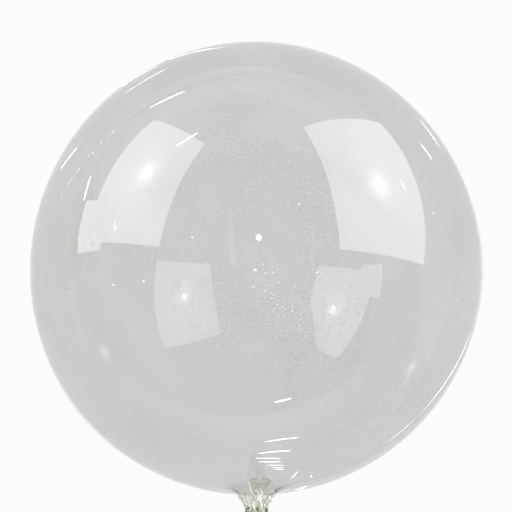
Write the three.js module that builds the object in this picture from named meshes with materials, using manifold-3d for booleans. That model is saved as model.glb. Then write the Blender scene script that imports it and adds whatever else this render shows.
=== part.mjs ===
// A clear film bubble balloon, lying on its side.
//
// Two round sheets of stretch film are welded along their rim and blown up to a ball.
// The film runs on as a neck that leaves the ball in pleats, is tied in an overhand knot of its own
// and ends in a short flat tail. The balloon lies with its weld level and its neck pointing to -Y.
// It is sealed, so it is one solid. A small flat spot underneath, at the origin, keeps it from rolling.
//
// Units are millimetres, +Z is up.

import * as THREE from 'three';
import { mergeVertices } from 'three/addons/utils/BufferGeometryUtils.js';
import Module from 'manifold-3d';

// ---- driving dimensions -------------------------------------------------------------------------

// ball
const BALL_WIDTH = 450;          // across the weld, along X
const BALL_LENGTH = 452;         // from crown to neck, along Y
const BALL_DEPTH = 430;          // through the two sheets, along Z
const NECK_END_SLIMMING = 0.08;  // share of the depth lost at the neck and gained at the crown
const BALL_SIDES = 76;
const SHEET_ROWS = 13;

// weld along the rim of the two sheets
const WELD_REACH = 1.6;          // how far the welded edge stands out
const WELD_THICKNESS = 2.4;

// flat spot
const FLAT_SPOT_DEPTH = 3;

// neck, measured from the ball's surface outwards
const NECK_RADIUS = 10.2;
const NECK_LENGTH = 50;
const FLARE_RADIUS = 14;         // what the flare adds to the neck's radius where it leaves the ball
const FLARE_LENGTH = 10;
const FLARE_POWER = 1.3;
const SKIRT_RADIUS = 15;         // what the skirt adds where the flare runs out onto the ball
const SKIRT_LENGTH = 1.3;
const SKIRT_SINK = 0.5;          // the edge of the skirt lies this deep in the ball
const NECK_ROOT_DEPTH = 12;      // of the neck's hidden foot, inside the ball
const NECK_SIDES = 66;
const PLEAT_COUNT = 11;
const PLEAT_DEPTH = 1.6;
const SIDE_WELD_REACH = 1.1;     // the weld goes on along both sides of the neck
const SIDE_WELD_SPREAD = 0.16;   // half its angle around the neck, in radians

// knot in the gathered neck: a swollen core with two slanting turns of film drawn tight around it
const GATHER_RADIUS = 5.6;
const GATHER_LENGTH = 13;
const GATHER_OVERLAP = 5;        // how far the gathered neck runs on inside the knot
const KNOT_HALF_LENGTH = 12;
const KNOT_CORE_RADIUS = 7.6;
const KNOT_TURN_RADIUS = 8.6;
const KNOT_STRAND_RADIUS = 4.3;
const KNOT_FLATNESS = 0.82;      // height of the knot as a share of its width
const KNOT_TURN_TILTS = [0.66, -0.52];
const KNOT_SIDES = 22;
const KNOT_STRAND_SIDES = 8;

// tail beyond the knot
const TAIL_LENGTH = 38;
const TAIL_HALF_WIDTH = 17;
const TAIL_HALF_THICKNESS = 3;
const TAIL_WAVES = 2.5;
const TAIL_WAVE_HEIGHT = 1.5;
const TAIL_SIDES = 50;
const TAIL_ROWS = 8;

// finish
const FILM_COLOUR = 0xd9dcd6;
const FILM_ROUGHNESS = 0.06;

// ---- derived sizes ------------------------------------------------------------------------------

const HALF_WIDTH = BALL_WIDTH / 2;
const HALF_LENGTH = BALL_LENGTH / 2;
const HALF_DEPTH = BALL_DEPTH / 2;
const NECK_END_HALF_DEPTH = HALF_DEPTH * (1 - NECK_END_SLIMMING);

// The sheets are deepest a little on the crown side of the middle. There the lower one touches down.
const DEEPEST = (Math.sqrt(1 + 8 * NECK_END_SLIMMING ** 2) - 1) / (4 * NECK_END_SLIMMING);
const DEEPEST_HALF_DEPTH = HALF_DEPTH * Math.sqrt(1 - DEEPEST ** 2) * (1 + NECK_END_SLIMMING * DEEPEST);
const BALL_CENTRE_Y = -HALF_LENGTH * DEEPEST;
const BALL_CENTRE_Z = DEEPEST_HALF_DEPTH - FLAT_SPOT_DEPTH;
const BALL_END_Y = BALL_CENTRE_Y - HALF_LENGTH;

// distances along the neck from the end of the ball
const NECK_END = NECK_LENGTH + GATHER_LENGTH;
const KNOT_CENTRE = NECK_END + KNOT_HALF_LENGTH;
const TAIL_START = KNOT_CENTRE + KNOT_HALF_LENGTH / 2;

const wasm = await Module();
wasm.setup();

// ---- solids and meshes --------------------------------------------------------------------------

// A closed geometry as a manifold solid, with its shared corners merged.
function toSolid(geometry) {
  geometry.deleteAttribute('normal');
  geometry.deleteAttribute('uv');
  const merged = mergeVertices(geometry, 1e-3);
  return new wasm.Manifold(new wasm.Mesh({
    numProp: 3,
    vertProperties: new Float32Array(merged.getAttribute('position').array),
    triVerts: new Uint32Array(merged.getIndex().array),
  }));
}

function toGeometry(solid) {
  const mesh = solid.getMesh();
  const geometry = new THREE.BufferGeometry();
  geometry.setAttribute('position', new THREE.BufferAttribute(new Float32Array(mesh.vertProperties), 3));
  geometry.setIndex(new THREE.BufferAttribute(new Uint32Array(mesh.triVerts), 1));
  geometry.computeVertexNormals();
  return geometry;
}

// Moves every corner of a geometry by the given function of its place.
function reshape(geometry, move) {
  const positions = geometry.getAttribute('position');
  const place = new THREE.Vector3();
  for (let i = 0; i < positions.count; i += 1) {
    place.fromBufferAttribute(positions, i);
    move(place);
    positions.setXYZ(i, place.x, place.y, place.z);
  }
  return geometry;
}

function smoothstep(from, to, value) {
  return THREE.MathUtils.smoothstep(value, from, to);
}

// ---- ball ---------------------------------------------------------------------------------------

// Half the outline of the two sheets, from the middle of the lower one to the middle of the upper one,
// with the welded edge standing out between them.
function ballOutline() {
  const lip = WELD_THICKNESS / 2;
  const weldAngle = Math.asin(lip / HALF_DEPTH);
  const lower = [new THREE.Vector2(0, -HALF_DEPTH)];
  for (let row = 1; row <= SHEET_ROWS; row += 1) {
    const angle = -Math.PI / 2 + (Math.PI / 2 - weldAngle) * (row / SHEET_ROWS);
    lower.push(new THREE.Vector2(HALF_WIDTH * Math.cos(angle), HALF_DEPTH * Math.sin(angle)));
  }
  const upper = lower.map((point) => new THREE.Vector2(point.x, -point.y)).reverse();
  const edge = HALF_WIDTH + WELD_REACH;
  return [...lower, new THREE.Vector2(edge, -lip), new THREE.Vector2(edge, lip), ...upper];
}

function ballSolid() {
  const ball = new THREE.LatheGeometry(ballOutline(), BALL_SIDES);
  ball.rotateX(Math.PI / 2);
  reshape(ball, (place) => {
    place.z *= 1 + (NECK_END_SLIMMING * place.y) / HALF_WIDTH;
    place.y *= BALL_LENGTH / BALL_WIDTH;
  });
  return toSolid(ball);
}

// ---- neck ---------------------------------------------------------------------------------------

// Radius of the neck at a distance from the ball: a thin skirt, a quick flare, a tube, then the gather.
function neckRadius(distance) {
  const off = Math.max(0, distance);
  const skirt = SKIRT_RADIUS * Math.exp(-off / SKIRT_LENGTH);
  const flare = FLARE_RADIUS * Math.exp(-((off / FLARE_LENGTH) ** FLARE_POWER));
  const gather = smoothstep(NECK_LENGTH, NECK_END, distance);
  return NECK_RADIUS + skirt + flare + (GATHER_RADIUS - NECK_RADIUS) * gather;
}

// Pleats are deepest in the flare and again in the gather before the knot.
function pleatDepth(distance) {
  const rising = smoothstep(-SKIRT_LENGTH, FLARE_LENGTH / 2, distance);
  const atFlare = rising * (1 - smoothstep(FLARE_LENGTH, 3 * FLARE_LENGTH, distance));
  const atGather = smoothstep(NECK_LENGTH - GATHER_LENGTH, NECK_LENGTH, distance);
  return PLEAT_DEPTH * Math.max(0.2 * rising, atFlare, 0.7 * atGather);
}

// How far the film stands off the round neck at an angle around it.
function neckRelief(angle, distance) {
  const pleat = Math.cos(PLEAT_COUNT * angle + 0.6 * Math.sin(2 * angle));
  const fromSide = Math.asin(Math.abs(Math.sin(angle)));
  const weld = SIDE_WELD_REACH * Math.max(0, 1 - fromSide / SIDE_WELD_SPREAD);
  return pleatDepth(distance) * pleat + weld;
}

// How far the ball's surface falls back from its end, beside the neck's axis.
function ballFall(x, z) {
  return (HALF_LENGTH / 2) * ((x / HALF_WIDTH) ** 2 + (z / NECK_END_HALF_DEPTH) ** 2);
}

function neckSolid() {
  const distances = [
    -SKIRT_SINK, 0.6, 1.6, 3, 5, 7.5, 10.5, 14, 18.5, 24, 34, 43, 49, 53, 57,
    NECK_END, NECK_END + GATHER_OVERLAP,
  ];
  const outline = [
    new THREE.Vector2(0, -NECK_ROOT_DEPTH),
    new THREE.Vector2(neckRadius(0) / 2, -NECK_ROOT_DEPTH),
    ...distances.map((distance) => new THREE.Vector2(neckRadius(distance), distance)),
    new THREE.Vector2(0, NECK_END + GATHER_OVERLAP),
  ];
  const neck = new THREE.LatheGeometry(outline, NECK_SIDES);
  reshape(neck, (place) => {
    const radius = Math.hypot(place.x, place.z);
    const distance = place.y;
    if (radius > 0 && distance >= -SKIRT_SINK) {
      const angle = Math.atan2(place.z, place.x);
      const slope = neckRadius(distance + SKIRT_SINK) - neckRadius(distance);
      const relief = neckRelief(angle, distance) / Math.hypot(SKIRT_SINK, slope);
      const scale = 1 + (relief * SKIRT_SINK) / radius;
      place.x *= scale;
      place.z *= scale;
      place.y -= relief * slope;
    }
    place.y -= ballFall(place.x, place.z);
  });
  return toSolid(neck.rotateX(Math.PI));
}

// ---- knot ---------------------------------------------------------------------------------------

// One turn of film around the neck's axis, slanting by the given angle.
function knotTurn(tilt) {
  const turn = new THREE.TorusGeometry(KNOT_TURN_RADIUS, KNOT_STRAND_RADIUS, KNOT_STRAND_SIDES, KNOT_SIDES);
  turn.rotateX(Math.PI / 2).rotateZ(tilt).scale(1, 1, KNOT_FLATNESS);
  return toSolid(turn);
}

function knotSolid() {
  const core = new THREE.SphereGeometry(1, KNOT_SIDES, KNOT_STRAND_SIDES);
  core.scale(KNOT_CORE_RADIUS, KNOT_HALF_LENGTH * 1.2, KNOT_CORE_RADIUS * KNOT_FLATNESS);
  return KNOT_TURN_TILTS.map(knotTurn).reduce((knot, turn) => knot.add(turn), toSolid(core));
}

// ---- tail ---------------------------------------------------------------------------------------

// The tail opens from the gather to a flat mouth. It is made a little long and then cut square.
function tailSolid() {
  const spare = 3;
  const length = TAIL_LENGTH + spare;
  const outline = [new THREE.Vector2(0, 0)];
  for (let row = 0; row <= TAIL_ROWS; row += 1) {
    outline.push(new THREE.Vector2(1, (length * row) / TAIL_ROWS));
  }
  outline.push(new THREE.Vector2(0, length));
  const tail = new THREE.LatheGeometry(outline, TAIL_SIDES);
  reshape(tail, (place) => {
    const opening = smoothstep(0, length, place.y);
    const across = place.x;
    const wave = TAIL_WAVE_HEIGHT * opening * Math.sin(TAIL_WAVES * 2 * Math.PI * across);
    place.x = across * THREE.MathUtils.lerp(GATHER_RADIUS * 0.8, TAIL_HALF_WIDTH, opening);
    place.z = place.z * THREE.MathUtils.lerp(GATHER_RADIUS * 0.8, TAIL_HALF_THICKNESS, opening) + wave;
  });
  const beyond = new THREE.BoxGeometry(4 * TAIL_HALF_WIDTH, 2 * spare, 4 * TAIL_HALF_WIDTH);
  beyond.translate(0, TAIL_LENGTH + spare, 0);
  return toSolid(tail).subtract(toSolid(beyond)).rotate([180, 0, 0]);
}

// ---- balloon ------------------------------------------------------------------------------------

// Everything below the level that the balloon lies on.
function groundSolid() {
  const size = 2 * BALL_WIDTH;
  return toSolid(new THREE.BoxGeometry(size, size, size).translate(0, 0, -size / 2));
}

function balloonGeometry() {
  const solid = ballSolid()
    .translate([0, BALL_CENTRE_Y, BALL_CENTRE_Z])
    .add(neckSolid().translate([0, BALL_END_Y, BALL_CENTRE_Z]))
    .add(knotSolid().translate([0, BALL_END_Y - KNOT_CENTRE, BALL_CENTRE_Z]))
    .add(tailSolid().translate([0, BALL_END_Y - TAIL_START, BALL_CENTRE_Z]))
    .subtract(groundSolid());
  return toGeometry(solid);
}

const film = new THREE.MeshStandardMaterial({
  color: FILM_COLOUR,
  roughness: FILM_ROUGHNESS,
  metalness: 0,
});

const balloon = new THREE.Mesh(balloonGeometry(), film);
balloon.name = 'balloon';

const part = new THREE.Group();
part.add(balloon);

export default part;
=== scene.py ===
"""Looks of a clear film bubble balloon that lies on a pale floor under two softboxes.

The balloon is a thin closed film with an outer and an inner skin. It swells to the ball, leaves it in
pleats as a neck, and is tied in a knot of its own. The weld of the two sheets stands out as a rib.

Lengths are metres, unless a docstring says millimetres. The ball's local frame has its origin in the
ball's middle, +Y to the crown and the neck along -Y, and the weld lies in the level z = 0. A place on
the ball is a polar angle from the neck's end and an angle around its length, from +X over the top.
"""

import logging
import math
from dataclasses import dataclass, field
from enum import Enum

import bpy
import numpy as np
from mathutils import Matrix, Vector


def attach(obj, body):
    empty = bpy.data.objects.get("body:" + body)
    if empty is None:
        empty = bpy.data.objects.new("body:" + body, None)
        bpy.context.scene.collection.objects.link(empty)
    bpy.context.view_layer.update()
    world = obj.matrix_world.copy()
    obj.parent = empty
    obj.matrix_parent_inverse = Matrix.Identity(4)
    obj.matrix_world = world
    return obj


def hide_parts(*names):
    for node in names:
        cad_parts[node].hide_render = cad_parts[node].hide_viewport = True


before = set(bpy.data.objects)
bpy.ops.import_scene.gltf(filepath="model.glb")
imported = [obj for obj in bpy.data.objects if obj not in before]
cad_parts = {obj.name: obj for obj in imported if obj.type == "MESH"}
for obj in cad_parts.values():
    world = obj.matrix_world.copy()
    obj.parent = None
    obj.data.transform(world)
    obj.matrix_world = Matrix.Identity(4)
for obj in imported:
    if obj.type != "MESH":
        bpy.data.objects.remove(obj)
logging.basicConfig(level=logging.INFO, format="%(message)s")
log = logging.getLogger("balloon")

Colour = tuple[float, float, float]
Place = tuple[float, float, float]
Pair = tuple[float, float]

MM = 0.001
FULL_TURN = 2 * math.pi
FILM_WALL = 0.18 * MM
TIP_SHARE = 0.98  # share of a ridge's half length at which its end rings lie
RIDGE_GAP = 0.03 * MM  # ridges stay this far off the film, so that no two faces coincide
TINY = 1e-12
WHITE = (1.0, 1.0, 1.0)
BLACK = (0.0, 0.0, 0.0)
MIX_SHARE, MIX_FIRST, MIX_SECOND, MIX_RESULT = 0, 6, 7, 2  # sockets of a mix node for colours


def smoothstep(low: float, high: float, value: np.ndarray) -> np.ndarray:
    """Eases from 0 at low to 1 at high."""
    t = np.clip((np.asarray(value, float) - low) / (high - low), 0.0, 1.0)
    return t * t * (3 - 2 * t)


def ring_angles(count: int) -> np.ndarray:
    """Evenly spaced angles once around, as one row."""
    return np.linspace(0, FULL_TURN, count, endpoint=False)[None, :]


# ---- finishes -----------------------------------------------------------------------------------


class NodeGraph:
    """A small helper that adds and links nodes of one material."""

    def __init__(self, name: str) -> None:
        """Starts an empty material.

        Args:
            name: The material's name.
        """
        self.material = bpy.data.materials.new(name)
        self.material.use_nodes = True
        self.tree = self.material.node_tree
        self.tree.nodes.clear()

    def node(self, kind: str, **settings: object) -> bpy.types.Node:
        """Adds a node.

        Args:
            kind: The node's type name.
            settings: Attributes of the node, or values of its inputs by name with _ for a space.

        Returns:
            The new node.
        """
        made = self.tree.nodes.new(kind)
        for key, value in settings.items():
            if hasattr(made, key):
                setattr(made, key, value)
            else:
                made.inputs[key.replace("_", " ")].default_value = value
        return made

    def link(self, source: bpy.types.NodeSocket, target: bpy.types.NodeSocket) -> None:
        """Links an output to an input."""
        self.tree.links.new(source, target)

    def math(self, operation: str, first: object, second: object = 0.0) -> bpy.types.NodeSocket:
        """Adds a math node.

        Args:
            operation: The node's operation.
            first: Its first value, a socket or a number.
            second: Its second value, a socket or a number.

        Returns:
            The node's output.
        """
        made = self.node("ShaderNodeMath", operation=operation)
        for socket, value in zip(made.inputs, (first, second)):
            if isinstance(value, bpy.types.NodeSocket):
                self.link(value, socket)
            else:
                socket.default_value = value
        return made.outputs[0]

    def place(self) -> bpy.types.NodeSocket:
        """Adds the place on the piece in its own frame and returns its output."""
        return self.node("ShaderNodeTexCoord").outputs["Object"]

    def noise(self, size: float, detail: float, limits: Pair, height: float = 1.0) -> bpy.types.NodeSocket:
        """Adds noise that is fixed to the piece, cut to a range.

        Args:
            size: Length of its largest waves.
            detail: Number of its finer layers.
            limits: Values of the raw noise that become 0 and the full height.
            height: The largest value.

        Returns:
            The output, between 0 and the height.
        """
        raw = self.node("ShaderNodeTexNoise", Scale=1 / size, Detail=detail)
        self.link(self.place(), raw.inputs["Vector"])
        cut = self.node("ShaderNodeMapRange", From_Min=limits[0], From_Max=limits[1], To_Max=height)
        self.link(raw.outputs["Fac"], cut.inputs["Value"])
        return cut.outputs["Result"]

    def show(self, shader: bpy.types.NodeSocket) -> bpy.types.Node:
        """Adds the material's output.

        Args:
            shader: What the surface shows.

        Returns:
            The output node.
        """
        output = self.node("ShaderNodeOutputMaterial")
        self.link(shader, output.inputs["Surface"])
        return output


@dataclass(frozen=True)
class FilmFinish:
    """Clear film: a see-through shader, a little cloudy in patches of fine grain.

    The shade tint is the share of each colour that one pass through the wall lets through: painted shade
    that greys what is seen through the clear film.
    """

    name: str
    colour: Colour
    roughness: float
    ior: float = 1.5
    see_through: float = 1.0
    milkiness: float = 0.0
    milk_depth: float = 1.0 * MM
    shade_tint: Colour | None = None
    wall: float = FILM_WALL
    grain_size: float = 1.3 * MM
    grain_detail: float = 2.0
    grain_limits: Pair = (0.5, 0.66)
    grain_depth: float = 0.2
    clouds_size: float = 110 * MM
    clouds_detail: float = 3.0
    clouds_limits: Pair = (0.46, 0.68)

    def build(self) -> bpy.types.Material:
        """Makes the material.

        Returns:
            The new material.
        """
        graph = NodeGraph(self.name)
        shader = graph.node(
            "ShaderNodeBsdfPrincipled",
            Roughness=self.roughness,
            IOR=self.ior,
            Transmission_Weight=self.see_through,
            Subsurface_Weight=self.milkiness,
            Subsurface_Radius=(1.0, 1.0, 1.0),
            Subsurface_Scale=self.milk_depth,
        )
        output = graph.show(shader.outputs["BSDF"])
        if self.shade_tint:
            # The shade tint's absorption is painted shade on what the film lets through.
            kept = tuple(1 + math.log(share) for share in self.shade_tint)
            shade_absorption = graph.node("ShaderNodeVolumeAbsorption", Color=(*kept, 1.0), Density=1 / self.wall)
            graph.link(shade_absorption.outputs[0], output.inputs["Volume"])
        clouds = graph.noise(self.clouds_size, self.clouds_detail, self.clouds_limits)
        grain = graph.noise(self.grain_size, self.grain_detail, self.grain_limits, self.grain_depth)
        mix = graph.node("ShaderNodeMix", data_type="RGBA")
        mix.inputs[MIX_FIRST].default_value = (*self.colour, 1.0)
        mix.inputs[MIX_SECOND].default_value = (*BLACK, 1.0)
        graph.link(graph.math("MULTIPLY", grain, clouds), mix.inputs[MIX_SHARE])
        graph.link(mix.outputs[MIX_RESULT], shader.inputs["Base Color"])
        return graph.material


# ---- meshes -------------------------------------------------------------------------------------


@dataclass
class Shell:
    """Corners and faces of a mesh that grows by grids, with a material number for each face."""

    name: str
    corners: list[np.ndarray] = field(default_factory=list)
    faces: list[np.ndarray] = field(default_factory=list)
    finishes: list[np.ndarray] = field(default_factory=list)
    count: int = 0

    def add_points(self, points: np.ndarray) -> int:
        """Adds corners.

        Args:
            points: Corners in any layout, with their coordinates last.

        Returns:
            The number of the first one.
        """
        first = self.count
        self.corners.append(points.reshape(-1, 3))
        self.count += len(self.corners[-1])
        return first

    def add_faces(self, corners: np.ndarray, finish: np.ndarray | int) -> None:
        """Adds faces with the same number of corners each."""
        self.faces.append(corners)
        self.finishes.append(np.broadcast_to(finish, len(corners)))

    def add_grid(self, points: np.ndarray, finish: np.ndarray | int, flip: bool = False) -> int:
        """Adds a grid that closes on itself in its second direction.

        Args:
            points: Corners as rows, columns and coordinates.
            finish: Material number, or one for each row of faces.
            flip: True to turn the faces round.

        Returns:
            The number of the first corner.
        """
        rows, columns = points.shape[:2]
        first = self.add_points(points)
        row, column = np.meshgrid(np.arange(rows - 1), np.arange(columns), indexing="ij")
        beside = (column + 1) % columns
        here, next_row = row * columns, (row + 1) * columns
        quads = first + np.stack([here + column, next_row + column, next_row + beside, here + beside], -1)
        if flip:
            quads = quads[..., ::-1]
        numbers = np.broadcast_to(np.asarray(finish).reshape(-1, 1), (rows - 1, columns))
        self.add_faces(quads.reshape(-1, 4), numbers.reshape(-1))
        return first

    def add_fan(
        self, ring: int, columns: int, tip: Vector | np.ndarray, finish: int, flip: bool = False
    ) -> None:
        """Closes a ring of corners with a fan of triangles.

        Args:
            ring: Number of the ring's first corner.
            columns: Number of its corners.
            tip: The fan's tip.
            finish: Material number.
            flip: True to turn the faces round.
        """
        middle = self.add_points(np.array([tip], float))
        column = np.arange(columns)
        fan = np.stack([ring + column, np.full(columns, middle), ring + (column + 1) % columns], -1)
        self.add_faces(fan[:, ::-1] if flip else fan, finish)

    def add_band(self, ring: int, other: int, columns: int, finish: int, flip: bool = False) -> None:
        """Joins two rings of corners with a band of faces.

        Args:
            ring: Number of the first ring's first corner.
            other: Number of the other ring's first corner.
            columns: Number of corners in each.
            finish: Material number.
            flip: True to turn the faces round.
        """
        column = np.arange(columns)
        beside = (column + 1) % columns
        band = np.stack([ring + column, other + column, other + beside, ring + beside], -1)
        self.add_faces(band[:, ::-1] if flip else band, finish)

    def add_spindle(self, points: np.ndarray, flip: bool = False) -> None:
        """Adds a tube with both ends closed, in the first material.

        Args:
            points: Corners as rows along the tube and columns round it.
            flip: True to turn the faces round.
        """
        rows, sides = points.shape[:2]
        first = self.add_grid(points, 0, flip)
        self.add_fan(first, sides, points[0].mean(axis=0), 0, not flip)
        self.add_fan(first + (rows - 1) * sides, sides, points[-1].mean(axis=0), 0, flip)

    def build(self, materials: list[bpy.types.Material]) -> bpy.types.Object:
        """Makes the smooth-shaded mesh object, dressed with its materials.

        Args:
            materials: The materials that the faces' numbers stand for.

        Returns:
            The new object, linked to the scene.
        """
        mesh = bpy.data.meshes.new(self.name)
        corners = np.concatenate(self.corners)
        polygons = [face.tolist() for block in self.faces for face in block]
        mesh.from_pydata(corners.tolist(), [], polygons)
        for material in materials:
            mesh.materials.append(material)
        numbers = np.concatenate(self.finishes).astype(np.int32)
        mesh.polygons.foreach_set("material_index", numbers)
        mesh.polygons.foreach_set("use_smooth", np.ones(len(polygons), bool))
        mesh.validate()
        mesh.update()
        made = bpy.data.objects.new(self.name, mesh)
        bpy.context.scene.collection.objects.link(made)
        return made


def grid_normals(points: np.ndarray) -> np.ndarray:
    """Unit normals of a grid that closes on itself in its second direction.

    Args:
        points: Corners as rows, columns and coordinates.

    Returns:
        A normal for each corner, outwards where the rows run towards the crown.
    """
    along = np.gradient(points, axis=0)
    around = np.roll(points, -1, axis=1) - np.roll(points, 1, axis=1)
    normals = np.cross(along, around)
    length = np.linalg.norm(normals, axis=-1, keepdims=True)
    return normals / np.maximum(length, TINY)


def spindle(path: np.ndarray, normals: np.ndarray, width: float, height: float, sides: int) -> np.ndarray:
    """Corners of a slim raised ridge with pointed ends.

    Args:
        path: Points of the ridge's line on the film.
        normals: The film's outward unit normals at those points.
        width: The ridge's width at its middle.
        height: The ridge's height at its middle.
        sides: Number of corners round its section.

    Returns:
        The corners as rows along the path and columns round it.
    """
    along = np.linspace(-TIP_SHARE, TIP_SHARE, len(path))[:, None]
    taper = np.sqrt(1 - along**2)
    side = np.cross(np.gradient(path, axis=0), normals)
    side /= np.linalg.norm(side, axis=1, keepdims=True)
    angle = ring_angles(sides)
    wide = width / 2 * taper * np.cos(angle)
    rise = RIDGE_GAP + height * taper * np.maximum(np.sin(angle), 0.0)
    return path[:, None] + side[:, None] * wide[..., None] + normals[:, None] * rise[..., None]


@dataclass(frozen=True)
class Winding:
    """A wave that winds over a tube: radians for each unit around and along it, and its start."""

    around: float
    along: float
    start: float = 0.0

    def angle(self, around: np.ndarray, along: np.ndarray) -> np.ndarray:
        """The wave's angle at places on the tube."""
        return self.around * around + self.along * along + self.start

    def folds(self, around: np.ndarray, along: np.ndarray) -> np.ndarray:
        """Round folds between sharp valleys, from 0 to 1, at places on the tube."""
        return np.abs(np.sin(self.angle(around, along)))


# ---- balloon ------------------------------------------------------------------------------------


@dataclass(frozen=True)
class BallShape:
    """The blown-up ball, wider than deep, and slimmer at the neck's end."""

    width: float = 450 * MM
    length: float = 452 * MM
    depth: float = 429.6 * MM
    slimming: float = 0.08
    flat_spot_depth: float = 3 * MM

    @property
    def deepest(self) -> float:
        """Where the sheets are deepest, as a share of the way from the middle to the crown."""
        k = self.slimming
        return (math.sqrt(1 + 8 * k * k) - 1) / (4 * k)

    @property
    def centre(self) -> Vector:
        """The ball's middle in the shared frame.

        Returns:
            The place at which the deepest point sinks into the floor by the flat spot's depth.
        """
        share = self.deepest
        half = self.depth / 2 * math.sqrt(1 - share**2) * (1 + self.slimming * share)
        return Vector((0.0, -self.length / 2 * share, half - self.flat_spot_depth))

    def points(self, polar: np.ndarray, around: np.ndarray) -> np.ndarray:
        """Places on the ball.

        Args:
            polar: Angles from the neck's end.
            around: Angles around the length.

        Returns:
            The places in the ball's frame, with their coordinates last.
        """
        share = -np.cos(polar)
        ring = np.sin(polar)
        x = self.width / 2 * ring * np.cos(around)
        z = self.depth / 2 * (1 + self.slimming * share) * ring * np.sin(around)
        return np.stack([x, self.length / 2 * share * np.ones_like(around), z], axis=-1)


@dataclass(frozen=True)
class NeckShape:
    """The neck beyond the ball: a skirt, a pleated flare, a tube and the gather before the knot.

    The folds are a broad wave, one that crosses it, and a fine one that adds fine_share of their depth.
    """

    radius: float = 10.2 * MM
    length: float = 50 * MM
    flare_radius: float = 14 * MM
    flare_length: float = 10 * MM
    flare_power: float = 1.3
    skirt_radius: float = 15 * MM
    skirt_length: float = 1.3 * MM
    gather_radius: float = 5.6 * MM
    gather_length: float = 13 * MM
    gather_overlap: float = 5 * MM
    pleat_count: int = 11
    pleat_unevenness: float = 0.6
    pleat_depth: float = 1.6 * MM
    pleat_share_in_tube: float = 0.2
    pleat_share_in_gather: float = 0.7
    side_weld_reach: float = 1.1 * MM
    side_weld_spread: float = 0.16
    folds: tuple[Winding, Winding, Winding] = (
        Winding(5.5, 90),
        Winding(4, -150, 1.0),
        Winding(8.5, 60, 2.0),
    )
    fold_depth: float = 2.4 * MM
    fine_share: float = 0.5
    folds_full_from: float = 4 * MM
    folds_fade: Pair = (20 * MM, 35 * MM)
    folds_fade_share: float = 0.5

    @property
    def end(self) -> float:
        """Distance from the ball's end to the knot."""
        return self.length + self.gather_length

    def radius_at(self, distance: np.ndarray) -> np.ndarray:
        """Radius of the round neck.

        Args:
            distance: Distances from the ball's end.

        Returns:
            A radius for each.
        """
        off = np.maximum(distance, 0.0)
        skirt = self.skirt_radius * np.exp(-off / self.skirt_length)
        flare = self.flare_radius * np.exp(-((off / self.flare_length) ** self.flare_power))
        gather = smoothstep(self.length, self.end, distance)
        return self.radius + skirt + flare + (self.gather_radius - self.radius) * gather

    def relief_at(self, around: np.ndarray, distance: np.ndarray) -> np.ndarray:
        """How far the film stands off the round neck: pleats, folds, and the weld along both sides.

        Args:
            around: Angles around the neck.
            distance: Distances from the ball's end.

        Returns:
            A height for each place.
        """
        rising = smoothstep(-self.skirt_length, self.flare_length / 2, distance)
        flare = rising * (1 - smoothstep(self.flare_length, 3 * self.flare_length, distance))
        gather = smoothstep(self.length - self.gather_length, self.length, distance)
        share = np.maximum(flare, self.pleat_share_in_gather * gather)
        depth = self.pleat_depth * np.maximum(self.pleat_share_in_tube * rising, share)
        pleats = depth * np.cos(self.pleat_count * around + self.pleat_unevenness * np.sin(2 * around))
        from_side = np.arcsin(np.abs(np.sin(around)))
        weld = self.side_weld_reach * np.maximum(0.0, 1 - from_side / self.side_weld_spread)
        broad, crossing, fine = (fold.folds(around, distance) for fold in self.folds)
        height = (broad * crossing + self.fine_share * fine) / (1 + self.fine_share)
        fade = 1 - self.folds_fade_share * smoothstep(*self.folds_fade, distance)
        spread = smoothstep(0, self.folds_full_from, distance) * fade
        return pleats + rising * weld - self.fold_depth * spread * (1 - height)


class EnvelopeFinish(Enum):
    """Material numbers of the envelope's faces."""

    FILM = 0
    NECK = 1


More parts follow.
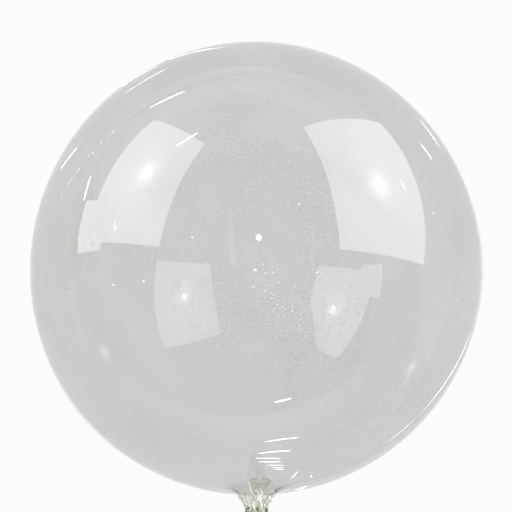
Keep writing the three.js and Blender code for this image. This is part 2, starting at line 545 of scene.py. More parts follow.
@dataclass(frozen=True)
class Envelope:
    """The film of the ball and the neck, as an outer and an inner skin."""

    ball: BallShape
    neck: NeckShape
    film: FilmFinish
    neck_film: FilmFinish
    wall: float = FILM_WALL
    flat_spot_ease: float = 1.2 * MM
    rounding_length: float = 8 * MM
    neck_film_start: float = 6 * MM
    columns: int = 264
    ball_rows: int = 104
    neck_rows: int = 84
    neck_row_crowding: float = 1.6

    @property
    def joint(self) -> float:
        """Polar angle at which the neck's skirt meets the ball."""
        return math.asin(float(self.neck.radius_at(np.zeros(1))[0]) / (self.ball.width / 2))

    def neck_skin(self, distance: np.ndarray, around: np.ndarray) -> np.ndarray:
        """Places on the neck's outer skin, which starts with the ball's section and gets round.

        Args:
            distance: Distances from the ball's end, as a column.
            around: Angles around the neck, as a row.

        Returns:
            The places in the ball's frame, as rows, columns and coordinates.
        """
        radius = self.neck.radius_at(distance)
        end_depth = self.ball.depth / 2 * (1 - self.ball.slimming * math.cos(self.joint))
        squash = end_depth / (self.ball.width / 2)
        squash = squash + (1 - squash) * smoothstep(0, self.rounding_length, distance)
        x = radius * np.cos(around)
        z = radius * squash * np.sin(around)
        fall = self.ball.length / 4 * ((2 * x / self.ball.width) ** 2 + (z / end_depth) ** 2)
        neck = np.stack([x, -self.ball.length / 2 - distance + fall, z], axis=-1)
        return neck + grid_normals(neck) * self.neck.relief_at(around, distance)[..., None]

    def skin(self) -> tuple[np.ndarray, np.ndarray]:
        """The outer skin.

        Returns:
            The skin's corners from the knot to the crown, and the distance from the ball by row.
        """
        around = ring_angles(self.columns)
        spacing = np.linspace(1, 0, self.neck_rows) ** self.neck_row_crowding
        distance = (spacing * (self.neck.end + self.neck.gather_overlap))[:, None]
        neck = self.neck_skin(distance, around)
        polar = np.linspace(self.joint, math.pi, self.ball_rows + 2)[1:-1, None]
        ball = self.ball.points(polar, around)
        distances = np.concatenate([distance[:, 0], np.zeros(len(polar))])
        return np.concatenate([neck, ball]), distances

    def laid_down(self, skin: np.ndarray, lowest: float) -> np.ndarray:
        """Moves a skin to the shared frame and presses its flat spot.

        Args:
            skin: Corners in the ball's frame.
            lowest: Height of the flat spot.

        Returns:
            The corners in the shared frame.
        """
        placed = skin + np.array(self.ball.centre)
        over = placed[..., 2] - lowest
        placed[..., 2] = lowest + (over + np.hypot(over, self.flat_spot_ease)) / 2
        return placed

    def build(self) -> bpy.types.Object:
        """Builds and dresses the envelope.

        Returns:
            The new piece.
        """
        outer, distances = self.skin()
        inner = outer - grid_normals(outer) * self.wall
        crown = np.array([0.0, self.ball.length / 2, 0.0])
        on_neck = distances[1:] > self.neck_film_start
        numbers = np.where(on_neck, EnvelopeFinish.NECK.value, EnvelopeFinish.FILM.value)
        shell = Shell("film_envelope")
        rings = []
        for skin, tip, flip, lowest in (
            (outer, crown, False, 0.0),
            (inner, crown - [0, self.wall, 0], True, self.wall),
        ):
            first = shell.add_grid(self.laid_down(skin, lowest), numbers, flip)
            last = first + (len(skin) - 1) * self.columns
            tip = tip + np.array(self.ball.centre)
            shell.add_fan(last, self.columns, tip, EnvelopeFinish.FILM.value, flip)
            rings.append(first)
        shell.add_band(rings[1], rings[0], self.columns, EnvelopeFinish.NECK.value)
        return shell.build([self.film.build(), self.neck_film.build()])


def ripple(along: np.ndarray, period: float, start: float = 0.0) -> np.ndarray:
    """An uneven wave along a length, from two waves that never fall in step.

    Args:
        along: Places along the length.
        period: Length of the main wave.
        start: The main wave's angle at 0.

    Returns:
        Heights between -1 and 1.
    """
    main_share, other_share, other_pace, other_start = 0.6, 0.4, 1.73, 1.9
    drift, drift_periods = 2.2, 4.7
    phase = FULL_TURN * along / period + start
    main = np.sin(phase + drift * np.sin(phase / drift_periods))
    return main_share * main + other_share * np.sin(other_pace * phase + other_start)


@dataclass(frozen=True)
class WeldRib:
    """The welded edge of the two sheets, a slightly puckered rib round the ball.

    It starts and ends at a polar angle beside the neck, and its section has steep sides and a flat top.
    """

    ball: BallShape
    film: FilmFinish
    reach: float = 1.6 * MM
    thickness: float = 0.14 * MM
    start: float = 0.09
    fade: float = 0.05
    end_share: float = 0.25
    pucker_period: float = 9 * MM
    pucker_share: float = 0.14
    sway: float = 0.35 * MM
    sway_periods: float = 1.4
    sway_share_at_foot: float = 0.3
    steepness: float = 0.62
    flatness: float = 1.7
    gap: float = 0.03 * MM
    stations: int = 900
    sides: int = 12

    def line(self, polar: np.ndarray) -> tuple[np.ndarray, np.ndarray]:
        """The line of the weld round the ball.

        Args:
            polar: Angles from the neck's end along the weld, up one side and down the other.

        Returns:
            Places on the line, and the directions outwards from it.
        """
        side = np.where(polar < math.pi, 0.0, math.pi)
        base = self.ball.points(np.where(polar < math.pi, polar, FULL_TURN - polar), side)[:, 0]
        outward = np.cross(np.gradient(base, axis=0), [0.0, 0.0, 1.0])
        outward /= np.linalg.norm(outward, axis=1, keepdims=True)
        return base, outward * np.sign(np.sum(outward * base, axis=1, keepdims=True))

    def build(self) -> bpy.types.Object:
        """Builds and dresses the rib.

        Returns:
            The new piece.
        """
        polar = np.linspace(self.start, FULL_TURN - self.start, self.stations)[:, None]
        base, outward = self.line(polar)
        along = polar * self.ball.width / 2
        full = self.start + self.fade
        taper = smoothstep(self.start, full, polar) * smoothstep(self.start, full, FULL_TURN - polar)
        pucker = 1 - self.pucker_share + self.pucker_share * ripple(along, self.pucker_period)
        height = self.reach * pucker * (self.end_share + (1 - self.end_share) * taper)
        shift = self.sway * ripple(along, self.sway_periods * self.pucker_period, 1.0) * taper
        angle = ring_angles(self.sides)
        rise = np.clip(0.5 + self.steepness * np.sin(angle), 0.0, 1.0)
        up = self.gap + (height - self.gap) * rise
        width = self.thickness / 2 * np.clip(self.flatness * np.cos(angle), -1.0, 1.0)
        width = width + shift * (self.sway_share_at_foot + (1 - self.sway_share_at_foot) * rise)
        points = base[:, None] + outward[:, None] * up[..., None]
        points = points + np.array([0.0, 0.0, 1.0]) * width[..., None]
        shell = Shell("weld_rib")
        shell.add_spindle(points + np.array(self.ball.centre), True)
        return shell.build([self.film.build()])


@dataclass(frozen=True)
class NeckFolds:
    """Gathered film inside the neck, with an open rim a little inside the ball."""

    ball: BallShape
    neck: NeckShape
    film: FilmFinish
    rim_distance: float = -7 * MM
    rim_radius: float = 9.5 * MM
    rim_shift: float = 4.5 * MM
    waist_radius: float = 5.2 * MM
    waist_distance: float = 11 * MM
    gather_narrowing: float = 1.6 * MM
    folds: tuple[Winding, Winding] = (Winding(3.5, 200), Winding(5, -120))
    fold_depth: float = 1.6 * MM
    fold_share_at_rim: float = 0.35
    flute_count: int = 9
    flute_depth: float = 0.3 * MM
    wall: float = 0.2 * MM
    columns: int = 180
    rows: int = 90

    def skin(self) -> np.ndarray:
        """The folds' outer skin.

        Returns:
            Its corners in the ball's frame, from the rim to the knot.
        """
        around = ring_angles(self.columns)
        distance = np.linspace(self.rim_distance, self.neck.end, self.rows)[:, None]
        closing = smoothstep(self.rim_distance, self.waist_distance, distance)
        radius = self.rim_radius + (self.waist_radius - self.rim_radius) * closing
        radius = radius - self.gather_narrowing * smoothstep(self.neck.length, self.neck.end, distance)
        first, second = (fold.folds(around, distance) for fold in self.folds)
        depth = self.fold_depth * (self.fold_share_at_rim + (1 - self.fold_share_at_rim) * closing)
        radius = radius - depth * (1 - (first + second) / 2)
        radius = radius + self.flute_depth * np.cos(self.flute_count * around)
        x = self.rim_shift * (1 - closing) + radius * np.cos(around)
        y = -self.ball.length / 2 - distance * np.ones_like(around)
        return np.stack([x, y, radius * np.sin(around)], axis=-1)

    def build(self) -> bpy.types.Object:
        """Builds and dresses the folds.

        Returns:
            The new piece.
        """
        shell = Shell("neck_folds")
        outer = self.skin()
        # The rows run away from the crown, so these normals point inwards.
        inner = outer + grid_normals(outer) * self.wall
        rings = []
        for points, flip in ((outer, True), (inner, False)):
            first = shell.add_grid(points + np.array(self.ball.centre), 0, flip)
            rings.append((first, first + (self.rows - 1) * self.columns))
        shell.add_band(rings[0][0], rings[1][0], self.columns, 0)
        shell.add_band(rings[1][1], rings[0][1], self.columns, 0)
        return shell.build([self.film.build()])


@dataclass(frozen=True)
class NeckCreases:
    """Fine folds that run down the flare and the neck. White ones paint glints along the pleats; dark green
    ones are partly painted shade in the pinched folds.

    Their starts, as distances from the ball's end, and their lengths are millimetres. The slant is
    the most that one turns around the neck, and the spread is the range of their widths in shares.
    """

    name: str
    envelope: Envelope
    film: FilmFinish
    starts: Pair
    lengths: Pair
    slant: float
    count: int
    width: float = 0.48 * MM
    height: float = 0.2 * MM
    width_spread: Pair = (0.6, 2.2)
    place_spread: float = 0.3
    wobble: float = 0.05
    wobble_pace: float = 9
    stations: int = 40
    sides: int = 12
    steps_around: int = 720
    seed: int = 5

    def fold(self, number: int, draw: np.random.Generator) -> np.ndarray:
        """Corners of one fold.

        Args:
            number: The fold's number, which sets its place around the neck.
            draw: Source of the differences between the folds.

        Returns:
            The corners as rows along the fold and columns round it.
        """
        start, length = draw.uniform(*self.starts) * MM, draw.uniform(*self.lengths) * MM
        distance = np.linspace(start + length, start, self.stations)[:, None]
        skin = self.envelope.neck_skin(distance, ring_angles(self.steps_around))
        normals = grid_normals(skin)
        slant = draw.uniform(-self.slant, self.slant)
        share = np.linspace(1, 0, self.stations)
        place = number + draw.uniform(-self.place_spread, self.place_spread)
        angle = FULL_TURN * place / self.count + slant * share
        angle = angle + self.wobble * np.sin(self.wobble_pace * share + number)
        column = np.round(angle / FULL_TURN * self.steps_around).astype(int) % self.steps_around
        rows = np.arange(self.stations)
        width = self.width * draw.uniform(*self.width_spread)
        return spindle(skin[rows, column], normals[rows, column], width, self.height, self.sides)

    def build(self) -> bpy.types.Object:
        """Builds and dresses the folds.

        Returns:
            The new piece.
        """
        shell = Shell(self.name)
        draw = np.random.default_rng(self.seed)
        for number in range(self.count):
            shell.add_spindle(self.fold(number, draw) + np.array(self.envelope.ball.centre))
        return shell.build([self.film.build()])


@dataclass(frozen=True)
class Crease:
    """A thin raised crease in the film, by its middle's place, its size and its direction.

    Angles are degrees, lengths are millimetres. The turn is 0 around the ball's length and 90 along it.
    """

    polar: float
    around: float
    length: float
    turn: float
    width: float = 1.5


@dataclass(frozen=True)
class FilmMarks:
    """Fine creases, grit and dust on the film of the ball. The creases' white is painted glints and
    reflections of the lamps; the grit and dust keep their own pale colour.

    Places are pairs of a polar angle and an angle around in degrees, and radii are millimetres. The
    dust is a band of coarser specks that runs from one place to another, and a haze about a third.
    """

    ball: BallShape
    film: FilmFinish
    creases: tuple[Crease, ...]
    grit: tuple[Pair, ...]
    grit_radius: float = 0.7
    height_share: float = 0.3
    band_start: Pair = (68, 81)
    band_run: Pair = (-16, -8)
    band_count: int = 90
    band_radius: float = 0.24
    haze_middle: Pair = (44, 86)
    haze_spread: Pair = (8, 14)
    haze_count: int = 260
    haze_radius: float = 0.13
    scatter: Pair = (1.8, 2.2)
    largest_share: float = 1.8
    crease_stations: int = 32
    crease_sides: int = 12
    speck_stations: int = 7
    speck_sides: int = 6
    seed: int = 11

    def mark(self, crease: Crease, stations: int, sides: int) -> np.ndarray:
        """Corners of one crease that follows the ball.

        Args:
            crease: Its place and size.
            stations: Number of rings along it.
            sides: Number of corners round it.

        Returns:
            The corners as rows along the crease and columns round it, in the shared frame.
        """
        along = np.linspace(-TIP_SHARE, TIP_SHARE, stations)[:, None]
        polar, around, turn = (math.radians(angle) for angle in (crease.polar, crease.around, crease.turn))
        step = crease.length * MM * along / self.ball.width
        path = self.ball.points(
            polar + step * math.sin(turn), around + step * math.cos(turn) / math.sin(polar)
        )[:, 0]
        normals = path / np.linalg.norm(path, axis=1, keepdims=True)
        width = crease.width * MM
        return spindle(path, normals, width, width * self.height_share, sides) + np.array(self.ball.centre)

    def dust(self) -> np.ndarray:
        """Draws the fine specks.

        Returns:
            Polar angle, angle around and radius of each, as rows.
        """
        draw = np.random.default_rng(self.seed)
        band = draw.uniform(0, 1, self.band_count)
        places = []
        for start, run, middle, spread in zip(
            self.band_start, self.band_run, self.haze_middle, self.haze_spread
        ):
            places.append(np.concatenate([start + run * band, draw.normal(middle, spread, self.haze_count)]))
        count = self.band_count + self.haze_count
        places = [place + draw.normal(0, scatter, count) for place, scatter in zip(places, self.scatter)]
        smallest = np.repeat([self.band_radius, self.haze_radius], [self.band_count, self.haze_count])
        return np.stack([*places, smallest * draw.uniform(1, self.largest_share, count)], axis=1)

    def build(self) -> bpy.types.Object:
        """Builds and dresses the marks.

        Returns:
            The new piece.
        """
        shell = Shell("film_glints_and_dust")
        for crease in self.creases:
            shell.add_spindle(self.mark(crease, self.crease_stations, self.crease_sides))
        grit = [(polar, around, self.grit_radius) for polar, around in self.grit]
        for polar, around, radius in [*grit, *self.dust()]:
            speck = Crease(polar, around, 2 * radius, 0.0, 2 * radius)
            shell.add_spindle(self.mark(speck, self.speck_stations, self.speck_sides))
        return shell.build([self.film.build()])


@dataclass(frozen=True)
class Knot:
    """The knot in the gathered neck: a swollen core with two slanting turns drawn tight around it."""

    ball: BallShape
    neck: NeckShape
    film: FilmFinish
    half_length: float = 12 * MM
    core_radius: float = 7.6 * MM
    core_stretch: float = 1.2
    core_creases: int = 9
    core_crease_twist: float = 1.5
    core_crease_share: float = 0.06
    core_opening: float = 0.08
    turn_radius: float = 8.6 * MM
    turn_tilts: Pair = (0.66, -0.52)
    strand_radius: float = 4.3 * MM
    flatness: float = 0.82
    creases: tuple[Winding, Winding] = (Winding(7, 2), Winding(12, -3))
    fine_share: float = 0.6
    crease_depth: float = 0.45 * MM
    crease_base: float = 0.8
    crease_swing: float = 0.5
    turn_grid: tuple[int, int] = (56, 96)
    core_grid: tuple[int, int] = (40, 72)

    @property
    def centre(self) -> Vector:
        """The knot's middle in the shared frame."""
        away = self.ball.length / 2 + self.neck.end + self.half_length
        return self.ball.centre - Vector((0.0, away, 0.0))

    def turn(self, tilt: float) -> np.ndarray:
        """One creased turn of film round the core.

        Args:
            tilt: The angle by which it slants.

        Returns:
            Its corners about the knot's middle, as rows round the strand and columns along it.
        """
        strand_steps, ring_steps = self.turn_grid
        around = ring_angles(ring_steps)
        strand = ring_angles(strand_steps).T
        coarse, fine = (crease.angle(strand, around) for crease in self.creases)
        crease = np.cos(coarse + tilt) + self.fine_share * np.cos(fine)
        radius = self.strand_radius - self.crease_depth * (self.crease_base + self.crease_swing * crease)
        ring = self.turn_radius + radius * np.cos(strand)
        x, z = ring * np.cos(around), ring * np.sin(around)
        y = radius * np.sin(strand) * np.ones_like(around)
        slant_x = x * math.cos(tilt) - y * math.sin(tilt)
        slant_y = x * math.sin(tilt) + y * math.cos(tilt)
        return np.stack([slant_x, slant_y, z * self.flatness], axis=-1)

    def core(self) -> np.ndarray:
        """The core, creased along its length.

        Returns:
            Its corners about the knot's middle, from the ball's side to the tail's.
        """
        rows, columns = self.core_grid
        around = ring_angles(columns)
        polar = np.linspace(self.core_opening, math.pi - self.core_opening, rows)[:, None]
        twist = self.core_crease_twist * np.cos(polar)
        crease = 1 - self.core_crease_share * (1 + np.cos(self.core_creases * around + twist))
        ring = self.core_radius * np.sin(polar) * crease
        y = -self.core_stretch * self.half_length * np.cos(polar) * np.ones_like(around)
        return np.stack([ring * np.cos(around), y, ring * np.sin(around) * self.flatness], axis=-1)

    def build(self) -> bpy.types.Object:
        """Builds and dresses the knot.

        Returns:
            The new piece.
        """
        shell = Shell("knot")
        centre = np.array(self.centre)
        for tilt in self.turn_tilts:
            turn = self.turn(tilt) + centre
            first = shell.add_grid(turn, 0)
            last = first + (len(turn) - 1) * turn.shape[1]
            shell.add_band(last, first, turn.shape[1], 0)
        core = self.core() + centre
        columns = core.shape[1]
        first = shell.add_grid(core, 0)
        tip = Vector((0.0, self.core_stretch * self.half_length, 0.0))
        shell.add_fan(first, columns, self.centre - tip, 0, True)
        shell.add_fan(first + (len(core) - 1) * columns, columns, self.centre + tip, 0)
        return shell.build([self.film.build()])


@dataclass(frozen=True)
class Tail:
    """The film beyond the knot: it fans out from the gather to a flat, wavy, open mouth."""

    knot: Knot
    film: FilmFinish
    length: float = 38 * MM
    cut_off: float = 3 * MM
    start_share: float = 0.8
    half_width: float = 17 * MM
    half_thickness: float = 3 * MM
    waves: float = 2.5
    wave_height: float = 1.5 * MM
    pleat_count: int = 14
    pleat_depth: float = 0.5 * MM
    pleat_share_lost: float = 0.5
    crease_count: int = 9
    crease_depth: float = 0.15 * MM
    wall: float = 0.3 * MM
    columns: int = 240
    rows: int = 60

    def skin(self, inset: float) -> np.ndarray:
        """One skin of the tail.

        Args:
            inset: How far it lies inside the outer one.

        Returns:
            Its corners from the knot to the mouth, about the tail's start.
        """
        away = np.linspace(0, self.length, self.rows)[:, None]
        opening = smoothstep(0, self.length + self.cut_off, away)
        around = ring_angles(self.columns)
        across = np.cos(around)
        start = self.knot.neck.gather_radius * self.start_share
        pleat = (1 - opening) * self.pleat_depth * (1 + np.cos(self.pleat_count * around))
        pleat = pleat + self.crease_depth * (1 + np.cos(self.crease_count * around))
        wide = start + (self.half_width - start) * opening - inset - pleat
        flat_pleat = pleat * (1 - self.pleat_share_lost * opening)
        thick = start + (self.half_thickness - start) * opening - inset - flat_pleat
        wave = self.wave_height * opening * np.sin(self.waves * FULL_TURN * across)
        y = -away * np.ones_like(around)
        return np.stack([across * wide, y, np.sin(around) * thick + wave], axis=-1)

    def build(self) -> bpy.types.Object:
        """Builds and dresses the tail.

        Returns:
            The new piece.
        """
        shell = Shell("tail")
        start = self.knot.centre - Vector((0.0, self.knot.half_length / 2, 0.0))
        rings = []
        for inset, flip in ((0.0, True), (self.wall, False)):
            first = shell.add_grid(self.skin(inset) + np.array(start), 0, flip)
            back = Vector((0.0, -inset, 0.0))
            shell.add_fan(first, self.columns, start + back, 0, not flip)
            rings.append(first + (self.rows - 1) * self.columns)
        shell.add_band(rings[0], rings[1], self.columns, 0, True)
        return shell.build([self.film.build()])


# ---- studio -------------------------------------------------------------------------------------


@dataclass(frozen=True)
class Glow:
    """A soft bright spot on a panel, with its place and half sizes in metres."""

    brightness: float
    place: Pair
    size: Pair


@dataclass(frozen=True)
class Panel:
    """A bright rectangle, such as a softbox, that the camera sees only by way of the film.

    One without a brightness of its own is clear around its glows.
    """

    name: str
    middle: Vector
    across: Vector
    up: Vector
    brightness: float
    colour: Colour = WHITE
    glows: tuple[Glow, ...] = ()

    def paint(self) -> bpy.types.Material:
        """Makes the glowing material, brighter at its spots.

        Returns:
            The new material.
        """
        graph = NodeGraph(f"{self.name}_light")
        shader = graph.node("ShaderNodeEmission", Color=(*self.colour, 1.0), Strength=self.brightness)
        shown = shader.outputs[0]
        if not self.brightness:
            both = graph.node("ShaderNodeAddShader")
            graph.link(shown, both.inputs[0])
            graph.link(graph.node("ShaderNodeBsdfTransparent").outputs[0], both.inputs[1])
            shown = both.outputs[0]
        graph.show(shown)
        total: bpy.types.NodeSocket | float = self.brightness
        for glow in self.glows:
            shift = graph.node(
                "ShaderNodeMapping",
                vector_type="TEXTURE",
                Location=(*glow.place, 0.0),
                Scale=(*glow.size, 1.0),
            )
            graph.link(graph.place(), shift.inputs["Vector"])
            away = graph.node("ShaderNodeVectorMath", operation="DOT_PRODUCT")
            graph.link(shift.outputs[0], away.inputs[0])
            graph.link(shift.outputs[0], away.inputs[1])
            bell = graph.math("EXPONENT", graph.math("MULTIPLY", away.outputs["Value"], -1.0))
            total = graph.math("ADD", graph.math("MULTIPLY", bell, glow.brightness), total)
            graph.link(total, shader.inputs["Strength"])
        return graph.material

    def build(self) -> None:
        """Adds the panel, facing the balloon."""
        wide, high = self.across.length / 2, self.up.length / 2
        mesh = bpy.data.meshes.new(self.name)
        corners = [(-wide, -high, 0), (wide, -high, 0), (wide, high, 0), (-wide, high, 0)]
        mesh.from_pydata(corners, [], [(0, 1, 2, 3)])
        mesh.materials.append(self.paint())
        made = bpy.data.objects.new(self.name, mesh)
        right = self.across.normalized()
        front = right.cross(self.up).normalized()
        turn = Matrix((right, front.cross(right), front)).transposed().to_4x4()
        made.matrix_world = Matrix.Translation(self.middle) @ turn
        made.visible_camera = False
        bpy.context.scene.collection.objects.link(made)


@dataclass(frozen=True)
class CreaseLight:
    """A distant light that brightens the white creases, whose white paints glints, and has no reflection of
    its own.
    """

    name: str
    towards: Place
    strength: float
    spread: float = 10

    def build(self) -> None:
        """Adds the light."""
        data = bpy.data.lights.new(self.name, "SUN")
        data.energy = self.strength
        data.angle = math.radians(self.spread)
        made = bpy.data.objects.new(self.name, data)
        made.rotation_euler = Vector(self.towards).to_track_quat("Z", "Y").to_euler()
        made.visible_glossy = False
        made.visible_transmission = False
        bpy.context.scene.collection.objects.link(made)


@dataclass(frozen=True)
class Studio:
    """Floor, surroundings, softboxes, lights and camera.

    The floor fades between two places along Y. The surroundings have a brightness for each height,
    from level to straight up, and a strength that grows from the neck's side to the crown's. Each end
    of a lamp arm has a place along Y, a height, and a sag that grows with the square of its place
    along X, in ball radii from the ball's middle.
    """

    ball: BallShape
    floor_reach: float = 12.0
    floor_level: float = -0.6 * MM
    floor_brightness: float = 0.97
    floor_far_brightness: float = 0.62
    floor_fade: Pair = (-0.95, -0.27)
    sky: tuple[Pair, ...] = ((0.0, 0.62), (0.1, 0.53), (0.3, 0.66), (0.55, 0.48), (1.0, 0.5))
    sky_strength: Pair = (0.4, 2.0)
    softbox_brightness: float = 3.1
    arm_brightness: float = 0.95
    arm_half_width: float = 0.06
    arm_ends: tuple[Place, Place] = ((-0.07, 3.0, 0.1), (-1.22, 2.85, 0.17))
    distance: float = 1.8
    lens: float = 126.4
    sensor: float = 36.0
    towards: Place = (0.135, -0.4, 0.9065)
    aim_up: float = 13.7 * MM
    aim_right: float = 0.3 * MM
    bounces: int = 24
    glossy_bounces: int = 12
    brightest_bounce: float = 8.0

    def floor(self) -> None:
        """Adds the floor, which glows evenly and is dimmer on the neck's side."""
        graph = NodeGraph("floor_paint")
        shader = graph.node("ShaderNodeEmission", Color=(*WHITE, 1.0))
        graph.show(shader.outputs[0])
        split = graph.node("ShaderNodeSeparateXYZ")
        graph.link(graph.place(), split.inputs[0])
        fade = graph.node(
            "ShaderNodeMapRange",
            interpolation_type="SMOOTHSTEP",
            From_Min=self.floor_fade[0],
            From_Max=self.floor_fade[1],
            To_Min=self.floor_far_brightness,
            To_Max=self.floor_brightness,
        )
        graph.link(split.outputs["Y"], fade.inputs["Value"])
        graph.link(fade.outputs["Result"], shader.inputs["Strength"])
        mesh = bpy.data.meshes.new("floor")
        reach = self.floor_reach
        outline = ((-reach, -reach), (reach, -reach), (reach, reach), (-reach, reach))
        mesh.from_pydata([(x, y, self.floor_level) for x, y in outline], [], [(0, 1, 2, 3)])
        mesh.materials.append(graph.material)
        made = bpy.data.objects.new("floor", mesh)
        bpy.context.scene.collection.objects.link(made)

    def surroundings(self) -> None:
        """Sets the soft light all around."""
        world = bpy.data.worlds.new("surroundings")
        world.use_nodes = True
        tree = world.node_tree
        background = tree.nodes["Background"]
        place = tree.nodes.new("ShaderNodeTexCoord")
        split = tree.nodes.new("ShaderNodeSeparateXYZ")
        ramp = tree.nodes.new("ShaderNodeValToRGB")
        tree.links.new(place.outputs["Generated"], split.inputs[0])
        tree.links.new(split.outputs["Z"], ramp.inputs["Fac"])
        side = tree.nodes.new("ShaderNodeMapRange")
        side.inputs["From Min"].default_value = -1.0
        side.inputs["To Min"].default_value, side.inputs["To Max"].default_value = self.sky_strength
        tree.links.new(split.outputs["Y"], side.inputs["Value"])
        tree.links.new(side.outputs["Result"], background.inputs["Strength"])
        tree.links.new(ramp.outputs["Color"], background.inputs["Color"])
        ramp.color_ramp.interpolation = "EASE"
        stops = ramp.color_ramp.elements
        stops.remove(stops[0])
        for number, (position, level) in enumerate(self.sky):
            stop = stops.new(position) if number else stops[0]
            stop.position = position
            stop.color = (level, level, level, 1.0)
        bpy.context.scene.world = world

    def panel(self, name: str, corners: tuple[Place, ...], **looks: object) -> None:
        """Adds a panel by its corners.

        Args:
            name: Its name.
            corners: Its corners in ball radii from the ball's middle, clockwise from top left.
            looks: Its brightness, colour and glows.
        """
        half = self.ball.width / 2
        places = [Vector(corner) * half + self.ball.centre for corner in corners]
        centre = sum(places, Vector()) / 4
        across = (places[1] - places[0] + places[2] - places[3]) / 2
        up = (places[0] - places[3] + places[1] - places[2]) / 2
        Panel(name, centre, across, up, **looks).build()

    def lamp(self, name: str, place: Place, size: float, brightness: float) -> None:
        """Adds a small round lamp that faces the ball.

        Args:
            name: Its name.
            place: Its place in ball radii from the ball's middle.
            size: Side of its clear panel, four times the half size of its glow.
            brightness: The glow's brightness.
        """
        middle = Vector(place) * self.ball.width / 2 + self.ball.centre
        front = (self.ball.centre - middle).normalized()
        across = Vector((0, 1, 0)).cross(front).normalized() * size
        up = front.cross(across).normalized() * size
        glow = Glow(brightness, (0.0, 0.0), (size / 4, size / 4))
        Panel(name, middle, across, up, 0.0, glows=(glow,)).build()

    def lamp_arm(self, name: str, across: float) -> None:
        """Adds one slim, pale bar of the lamps' stand, high above the balloon.

        Args:
            name: Its name.
            across: Its place along X in ball radii.
        """
        far, near = ((y, height - sag * across**2) for y, height, sag in self.arm_ends)
        left, right = across - self.arm_half_width, across + self.arm_half_width
        corners = ((left, *far), (right, *far), (right, *near), (left, *near))
        self.panel(name, corners, brightness=self.arm_brightness)

    def softboxes(self) -> None:
        """Adds the two softboxes above the balloon, the card beside it and the small lamps."""
        self.panel(
            "softbox_left",
            ((-1.96, 2.66, 1.84), (-0.87, 1.89, 3.38), (-1.79, -0.6, 2.8), (-2.88, 0.16, 1.25)),
            brightness=self.softbox_brightness,
            glows=(
                Glow(110.0, (0.014, 0.004), (0.01, 0.014)),
                Glow(2.6, (0.014, 0.004), (0.05, 0.06)),
                Glow(0.9, (-0.02, 0.0), (0.14, 0.24)),
            ),
        )
        self.panel(
            "softbox_right",
            ((0.89, 1.22, 1.72), (1.55, 1.46, 0.59), (1.94, -0.25, 0.46), (1.29, -0.49, 1.59)),
            brightness=self.softbox_brightness,
            glows=(
                Glow(110.0, (0.0, -0.025), (0.006, 0.009)),
                Glow(2.6, (0.0, -0.025), (0.03, 0.036)),
                Glow(0.9, (0.0, 0.0), (0.09, 0.15)),
            ),
        )
        self.lamp("lamp_by_camera", (0.45, -0.68, 3.1), 0.03, 160.0)
        self.lamp("low_lamp_left", (-2.65, -1.54, 0.47), 0.12, 1.4)
        self.lamp("low_lamp_right", (2.55, -1.59, -0.72), 0.1, 1.6)
        self.panel(
            "side_card",
            ((-2.81, 0.93, 0.92), (-2.53, 0.75, 1.62), (-2.63, -0.17, 1.64), (-2.93, 0.1, 1.0)),
            brightness=3.3,
            colour=(0.96, 0.95, 1.0),
        )
        self.lamp_arm("lamp_arm_left", -0.13)
        self.lamp_arm("lamp_arm_right", 1.48)

    def camera(self) -> None:
        """Adds the camera, which looks down on the balloon from the neck's side."""
        data = bpy.data.cameras.new("camera")
        data.lens = self.lens
        data.sensor_width = self.sensor
        made = bpy.data.objects.new("camera", data)
        bpy.context.scene.collection.objects.link(made)
        back = Vector(self.towards).normalized()
        right = Vector((0, 1, 0)).cross(back).normalized()
        top = back.cross(right)
        eye = self.ball.centre + back * self.distance
        target = self.ball.centre + top * self.aim_up + right * self.aim_right
        back = (eye - target).normalized()
        right = top.cross(back).normalized()
        top = back.cross(right)
        turn = Matrix((right, top, back)).transposed().to_4x4()
        made.matrix_world = Matrix.Translation(eye) @ turn
        bpy.context.scene.camera = made

    def build(self) -> None:
        """Builds the whole studio."""
        self.floor()
        self.surroundings()
        self.softboxes()
        CreaseLight("crease_light_front", (0.1, -0.5, 0.85), 3.0).build()
        CreaseLight("crease_light_back", (-0.75, 0.65, 0.12), 15.0).build()
        CreaseLight("crease_light_side", (0.75, -0.55, 0.35), 6.0).build()
        self.camera()
        scene = bpy.context.scene
        scene.view_settings.view_transform = "Standard"
        scene.cycles.max_bounces = self.bounces
        scene.cycles.transmission_bounces = self.bounces
        scene.cycles.glossy_bounces = self.glossy_bounces
        scene.cycles.sample_clamp_indirect = self.brightest_bounce
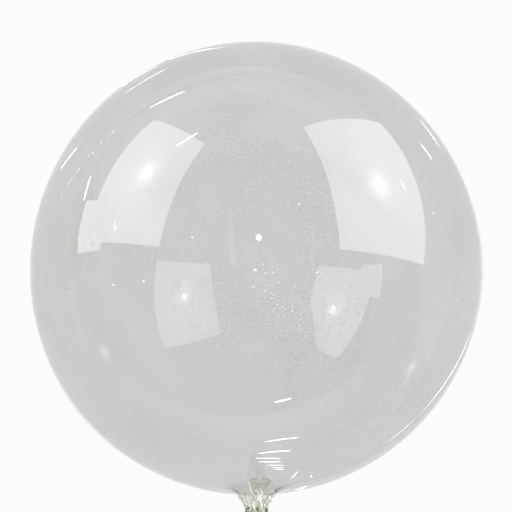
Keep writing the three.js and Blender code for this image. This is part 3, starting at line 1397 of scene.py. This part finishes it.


# ---- whole --------------------------------------------------------------------------------------

# Creases that paint glints and reflections of the lamps in white, each placed where a bright streak runs
# over the film.
GLINT_CREASES = (
    # upper sheet, on the -X side of the crown
    Crease(114, 105, 38, 158),
    Crease(100, 98, 23, 150),
    Crease(107, 138, 29, 149),
    Crease(94, 126, 26, 108),
    Crease(82, 117, 8, 90),
    # upper sheet, on the +X side
    Crease(114, 27, 33, 60),
    Crease(105, 34, 20, 50),
    Crease(92, 45, 12, 59),
    # a ladder of ever shorter ones down to the neck
    Crease(37, 72, 17, 160, 1.9),
    Crease(25, 68, 33, 164, 1.5),
    Crease(20.3, 70, 33, 167, 1.5),
    Crease(17.5, 73, 24, 177, 1.4),
    Crease(16, 70, 24, 175, 1.2),
    Crease(14.6, 64, 18, 173, 1.0),
    Crease(13.6, 60, 13, 172, 1.0),
    Crease(12.8, 57, 11, 172, 1.0),
    # beside the neck
    Crease(11.6, 29, 17, 60, 1.3),
    Crease(13, -41, 11, 52, 1.6),
    Crease(13, -31, 9, 89),
    Crease(14, 8, 10, 7, 1.6),
    # along the weld on the +X side
    Crease(57, 0.5, 100, 90, 0.85),
    Crease(38, 0.5, 42, 90, 0.6),
    # near the crown
    Crease(133, 125, 47, 149, 0.8),
    Crease(126, 117, 51, 147, 0.6),
    Crease(139, 105, 63, 178, 0.9),
    # dashes along the weld on the -X side
    Crease(137, 180, 14, 90, 2.4),
    Crease(133, 180, 9, 90, 2.2),
    Crease(129, 180, 15, 90, 2.6),
    Crease(124.5, 180, 12, 90, 2.4),
    Crease(120, 180, 16, 90, 2.7),
    Crease(115, 180, 14, 90, 2.2),
)
GRIT = ((76, 97), (68, 111), (69, 120), (71, 136), (68, 67), (88, 35), (71, 20), (83, 72))


def build_pieces(ball: BallShape) -> list[bpy.types.Object]:
    """Builds the balloon's pieces in their finishes.

    Args:
        ball: The ball that the rest is fitted to.

    Returns:
        The pieces.
    """
    neck = NeckShape()
    # The clear film's grey shade tint is painted shade: it stands in for the dimmer studio behind the
    # balloon, seen through the film.
    film = FilmFinish("clear_film", WHITE, roughness=0.02, shade_tint=(0.829, 0.827, 0.825))
    neck_film = FilmFinish("gathered_film", (0.885, 0.9, 0.845), roughness=0.03)
    fold_film = FilmFinish("folded_film", (0.89, 0.91, 0.845), roughness=0.03)
    weld_film = FilmFinish("weld_film", (0.97, 0.97, 0.965), roughness=0.02, ior=1.15)
    # On the creases this white is a painted highlight: it stands in for glints and reflections of the lamps.
    # On the grit and dust it is their own pale colour.
    glint_and_dust_film = FilmFinish(
        "glint_and_dust_white", (0.97, 0.97, 0.96), roughness=0.15, see_through=0.0, milkiness=1.0
    )
    # Dark green of the pinched folds deep in the neck: partly the green of many overlapping layers, partly
    # painted shade in the crumples.
    pinch_shade_film = FilmFinish("pinched_shade_film", (0.16, 0.24, 0.12), roughness=0.1, see_through=0.7)
    envelope = Envelope(ball, neck, film, neck_film)
    # White folds on the flare and the neck: their white is painted glints along the pleats' crests.
    creases = NeckCreases(
        "neck_crease_glints", envelope, glint_and_dust_film, starts=(-0.4, 16), lengths=(6, 20), slant=1.3, count=36
    )
    # Dark pinched folds: painted shade in the deep crumples, with the green of layered film.
    pinch_shades = NeckCreases(
        "pinched_fold_shades",
        envelope,
        pinch_shade_film,
        starts=(19, 24),
        lengths=(3, 7),
        slant=0.8,
        count=11,
        width=1.1 * MM,
        height=0.8 * MM,
    )
    knot = Knot(ball, neck, neck_film)
    return [
        envelope.build(),
        creases.build(),
        pinch_shades.build(),
        WeldRib(ball, weld_film).build(),
        NeckFolds(ball, neck, fold_film).build(),
        FilmMarks(ball, glint_and_dust_film, GLINT_CREASES, GRIT).build(),
        knot.build(),
        Tail(knot, neck_film).build(),
    ]


def main() -> None:
    """Builds the balloon's pieces and the studio, and reports each piece."""
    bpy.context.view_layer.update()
    ball = BallShape()
    for piece in build_pieces(ball):
        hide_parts("balloon")
        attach(piece, "root")
        log.info("%s: %d faces", piece.name, len(piece.data.polygons))
    Studio(ball).build()
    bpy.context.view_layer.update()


if __name__ == "__main__":
    main()
